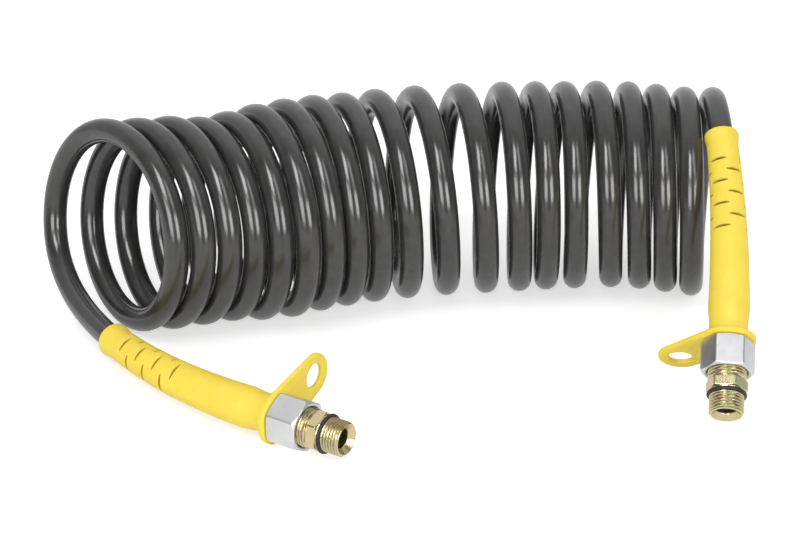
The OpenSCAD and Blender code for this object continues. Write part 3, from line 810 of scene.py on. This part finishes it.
def thread_cut(station, way, start, end_at):
    """Depth of a right-handed thread. Its phase is station / pitch minus way / full turn. The groove has
    sloping flanks and a rounded root, and fades out over part of a pitch at each end."""
    phase = (station / THREAD_PITCH - way / (2 * np.pi)) % 1
    off_crest = np.abs(phase - 0.5) * 2
    groove = np.clip((1 - off_crest - 0.12) / 0.72, 0, 1)
    groove = np.minimum(groove, 0.94 + 0.06 * np.sin(groove * np.pi / 2))
    fade = np.clip((station - start) / (0.3 * THREAD_PITCH), 0, 1) * np.clip(
        (end_at - station) / (0.5 * THREAD_PITCH), 0, 1)
    return THREAD_DEPTH * groove * fade


def dense(outline, step):
    """An outline of [station, radius] corners in mm, filled with points at about an even step."""
    corners = np.array(outline, float) * MM
    pieces = []
    for a, b in zip(corners, np.roll(corners, -1, 0)):
        count = max(1, int(round(np.linalg.norm(b - a) / step)))
        pieces.append(a + (b - a) * np.arange(count)[:, None] / count)
    return np.concatenate(pieces)


def turned_pieces(kind, outline, shape, material, node, body, step=0.16 * MM):
    """Sweeps an outline around both couplings. shape(end, station, radius, way) may change the radius of
    each point and returns it with the value of crest that the finish reads."""
    for end in (LEFT, RIGHT):
        name = end["side"] + "_" + kind
        profile = dense(outline, step)
        way = np.arange(TURN_COLUMNS) * 2 * np.pi / TURN_COLUMNS
        station = np.repeat(profile[:, :1], TURN_COLUMNS, 1)
        radius, crest = shape(end, station, np.repeat(profile[:, 1:], TURN_COLUMNS, 1), way[None, :])
        local = np.stack([radius * np.cos(way), radius * np.sin(way), station], -1)
        points = placed(end, local.reshape(-1, 3)).reshape(local.shape)
        walked = walk(profile)
        mesh = skin(name, points, np.append(walked, walked[-1] + step) / (10 * MM))
        mark(mesh, "crest", np.broadcast_to(crest, radius.shape))
        piece = add_object(name, mesh, material, sharp=38)
        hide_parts(end["side"] + "_" + node)
        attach(piece, end["side"] + "_" + body)


# %% [markdown]
# ### Union nut
# A hexagon bar, chamfered at both ends by a shallow cone, with a clear hole behind and a wide hole
# and a seat inside. The chamfer leaves the curved edge on each face that every nut has.

# %% Make the union nuts
NUT_OUTLINE = [[20.7, 10.85], [21.77, 12.70], [35.43, 12.70], [36.5, 10.85], [36.5, 6.75], [36.1, 6.36],
               [32.35, 6.36], [30.6, 7.8], [29.1, 7.8], [28.6, 9.3], [21.35, 9.3], [20.7, 9.95]]
NUT_THREAD_HOLE_R = 9.4 * MM
# The nut's bore gets a crest of HOLE_CREST, so painted shade darkens it
HOLE_CREST = 0.35            # the hole lies deep, but not as deep as a groove


def nut_shape(end, station, radius, way):
    """The hexagon limits the outside of the nut; the bore keeps its own radius."""
    six = hexagon(NUT_AF, way - math.radians(end["nut_turn"] + 30), 0.25 * MM)
    shaped = np.where(radius > 10 * MM, soft_min(radius, six, 0.22 * MM), radius)
    return shaped, np.where(radius > NUT_THREAD_HOLE_R, 1.0, HOLE_CREST)


turned_pieces("nut", NUT_OUTLINE, nut_shape, zinc, "union_nut", "nut", step=0.3 * MM)

# %% [markdown]
# ### Screw-in body
# From its free end: a countersink and the port, a stud thread of 16 mm, a groove for the seal
# ring, a hexagon of 17 mm across its flats, and the thread of 18 mm that the nut turns on. Inside
# lie a socket for the tube and the cone that the clamping ring is pressed into.

# %% Make the screw-in bodies
BODY_OUTLINE = [[0.0, 7.0], [0.12, 7.3], [0.9, 8.0], [8.8, 8.0], [8.8, 7.15], [10.9, 7.15], [10.9, 8.45],
                [11.3, 8.55], [11.35, 8.25], [11.95, 9.85], [15.9, 9.85], [16.5, 8.3], [16.9, 8.15],
                [17.5, 9.0], [25.6, 9.0], [26.2, 8.4], [26.2, 7.11], [21.2, 6.05], [18.2, 6.05],
                [18.2, 4.5], [2.9, 4.5], [2.5, 4.6], [0.1, 6.75]]
OUTSIDE_FROM = 6.9 * MM      # radius over which a point belongs to the outside
PROUD_FROM = 7.6 * MM        # radius over which it isn't in a groove of the outline


def body_shape(end, station, radius, way):
    """The two threads are cut into their stretches and the hexagon limits its own; a chamfer or a run-out
    in the outline is kept, because the smaller radius wins."""
    on_outside, proud = radius > OUTSIDE_FROM, radius > PROUD_FROM
    stud = on_outside & (station < STUD_LEN - 0.05 * MM) & (station > 0.1 * MM)
    long = proud & (station > HEX_TO + 0.5 * MM)
    six_stretch = proud & (station >= HEX_FROM) & (station <= HEX_TO)
    stud_cut = thread_cut(station, way, 0.2 * MM, STUD_LEN)
    long_cut = thread_cut(station, way, HEX_TO + 1.0 * MM, CONE_MOUTH)
    threaded = np.where(stud, np.minimum(radius, STUD_R - stud_cut), radius)
    threaded = np.where(long, np.minimum(threaded, NUT_THREAD_R - long_cut), threaded)
    six = hexagon(BODY_AF, way - math.radians(end["body_turn"] + 30), 0.2 * MM)
    shaped = np.where(six_stretch, soft_min(radius, six, 0.18 * MM), threaded)
    # crest falls to 0 in the thread grooves and from the port into the bore, where the finish paints shade
    crest = np.where(stud, 1 - stud_cut / THREAD_DEPTH, np.where(long, 1 - long_cut / THREAD_DEPTH, 1.0))
    bore_crest = np.clip(1 - (station - 2.5 * MM) / (6 * MM), 0, 1)
    return shaped, np.where(on_outside, crest, bore_crest)


turned_pieces("body", BODY_OUTLINE, body_shape, passivated, "screw_in_body", "end")

# %% [markdown]
# ### Seal ring
# A round rubber ring in the groove behind the stud thread. Its section is a circle, squeezed a
# little narrower between the two walls of the groove.

# %% Make the seal rings
SEAL_R, SEAL_STATION = 8.2, 9.85       # middle of the section, in mm
SEAL_HALF_WIDTH, SEAL_HALF_DEPTH = 1.0, 1.04
section_way = np.arange(20) * 2 * np.pi / 20
SEAL_OUTLINE = np.stack([SEAL_STATION + SEAL_HALF_WIDTH * np.cos(section_way),
                         SEAL_R + SEAL_HALF_DEPTH * np.sin(section_way)], 1)

turned_pieces("seal", SEAL_OUTLINE, lambda end, station, radius, way: (radius, 1.0), rubber,
              "stud_seal", "end")

# %% [markdown]
# ## The pieces that stay hidden
# The clamping rings and support sleeves lie inside the couplings. Their construction solids have
# the right shape already, so they only get the finish of turned steel.

# %% Finish the inner pieces
inner_pieces = ["left_clamping_ring", "right_clamping_ring", "left_support_sleeve", "right_support_sleeve"]
for name in inner_pieces:
    solid = frame["nodes"][name]
    solid.data.materials.clear()
    solid.data.materials.append(steel)
print("finished:", inner_pieces)

# %% [markdown]
# ## The length of the hose
# The hose is a real length of a real diameter that starts in one coupling and ends in the other,
# with the right coupling and its guard on its end. The cell prints its length.

print("declared a hose of", round(float(hose_length), 2), "m")

# %% [markdown]
# ## Floor and surroundings
# The hose lies on a plain white floor in a white room. The floor takes a shadow, and a ray that
# comes straight from the camera also sees it glow a little, which lifts it to white without
# throwing more light on the object. A glossy bounce sees less of that glow, because a floor as
# bright as white would make black plastic look grey.

# %% Floor and world
FLOOR_SIZE = 30
FLOOR_GLOW = 0.62
FLOOR_GLOW_IN_GLOSS = 0.4
AMBIENT = 0.5

bpy.ops.mesh.primitive_plane_add(size=FLOOR_SIZE, location=(0, 0, 0))
floor = bpy.context.object
floor.name = "floor"
floor_white, tree, shader = new_material("floor white", Roughness=0.9, Base_Color=(0.74, 0.74, 0.74, 1),
                                         Specular_IOR_Level=0.0, Emission_Color=WHITE)
path = add_node(tree, "LightPath").outputs
in_gloss = calculate(tree, "MULTIPLY", path["Is Glossy Ray"], FLOOR_GLOW_IN_GLOSS)
glow = calculate(tree, "MULTIPLY_ADD", path["Is Camera Ray"], FLOOR_GLOW, in_gloss)
tree.links.new(glow, shader.inputs["Emission Strength"])
floor.data.materials.append(floor_white)

world = bpy.data.worlds.new("white room")
scene.world = world
world.use_nodes = True
tree = world.node_tree
background = tree.nodes["Background"]
background.inputs["Color"].default_value = WHITE
from_camera = add_node(tree, "LightPath").outputs["Is Camera Ray"]
tree.links.new(ramp(tree, from_camera, 0.0, 1.0, AMBIENT), background.inputs["Strength"])
print("ambient light:", AMBIENT)

# %% [markdown]
# A gloss shows whatever surrounds it. Behind the object the room is white, but in front, where
# the lamps stand, a studio is dark, and that is what makes black plastic look black. So a wide
# dome hangs over the floor that only glossy rays can see. It glows white behind the object, and
# the glow falls off softly over the top towards the front, and a little to both sides.

# %% Dark side of the studio
DOME_R = 4
WHITE_UP_TO = math.radians(70)         # height above the horizon, counted from behind the object
DARK_FROM = math.radians(112)
DARK_GLOW = 0.2
SIDES_FROM, SIDES_TO = 0.3 * DOME_R, 0.85 * DOME_R
SIDE_GLOW = 0.55

bpy.ops.mesh.primitive_uv_sphere_add(segments=64, ring_count=32, radius=DOME_R, location=(0, 0, 0))
dome = bpy.context.object
dome.name = "studio_dome"
dome.visible_camera = dome.visible_diffuse = dome.visible_shadow = dome.visible_transmission = False
dome_glow, tree, shader = new_material("studio dome", Base_Color=(0, 0, 0, 1), Specular_IOR_Level=0.0,
                                       Emission_Color=WHITE)
way = add_node(tree, "SeparateXYZ", [(0, add_node(tree, "TexCoord").outputs["Object"])]).outputs
fall = ramp(tree, calculate(tree, "ARCTAN2", way["Z"], way["Y"]), WHITE_UP_TO, DARK_FROM, 1.0, DARK_GLOW,
            interpolation_type="SMOOTHSTEP")
side_fall = ramp(tree, calculate(tree, "ABSOLUTE", way["X"]), SIDES_FROM, SIDES_TO, 1.0, SIDE_GLOW,
                 interpolation_type="SMOOTHSTEP")
tree.links.new(calculate(tree, "MULTIPLY", fall, side_fall), shader.inputs["Emission Strength"])
dome.data.materials.append(dome_glow)
print("dome of", DOME_R, "m")

# %% [markdown]
# ## Lamps
# Four windows of light stand in front: two a little left of the camera and two a little right of
# it, one above the other. On a glossy tube each becomes a narrow bright streak. The light that the
# streaks are made of is kept apart from the light that colours the matt pieces, so each can have
# its own plain level. One more window hangs overhead.

# %% Softboxes
LIT_POINT = Vector((0, 60, 50)) * MM
LAMP_DISTANCE = 1.5
# Way from the camera, height over the ground, width and height of the window, all in degrees, and glow
WINDOWS = [(-24, 17, 28, 24, 7), (-24, 50, 28, 27, 10), (32, 17, 25, 24, 8), (32, 50, 25, 27, 3.5)]
TOP_WINDOW = (180, 80, 60, 60, 0.6)
MATT_SHARE = 0.6             # glow for the matt pieces, as a share of the streaks' glow


def add_window(name, way, height, wide_degrees, high_degrees, glow, glossy, matt):
    """A rectangular lamp that fills the given angles as seen from the object. Its power is its glow times pi
    times its area."""
    a, e = math.radians(way), math.radians(height)
    to_lamp = Vector((math.sin(a) * math.cos(e), -math.cos(a) * math.cos(e), math.sin(e)))
    lamp = bpy.data.lights.new(name, "AREA")
    lamp.shape = "RECTANGLE"
    lamp.size = 2 * LAMP_DISTANCE * math.tan(math.radians(wide_degrees) / 2) * math.cos(e)
    lamp.size_y = 2 * LAMP_DISTANCE * math.tan(math.radians(high_degrees) / 2)
    lamp.energy = glow * math.pi * lamp.size * lamp.size_y
    made = bpy.data.objects.new(name, lamp)
    scene.collection.objects.link(made)
    made.location = LIT_POINT + to_lamp * LAMP_DISTANCE
    made.rotation_euler = to_lamp.to_track_quat("Z", "Y").to_euler()
    made.visible_camera = False
    made.visible_glossy = glossy
    made.visible_diffuse = matt
    return made


for number, (*window, window_glow) in enumerate(WINDOWS):
    add_window(f"streak_{number}", *window, window_glow, True, False)
    add_window(f"soft_{number}", *window, window_glow * MATT_SHARE, False, True)
add_window("top", *TOP_WINDOW, False, True)
scene.view_settings.view_transform = "Standard"
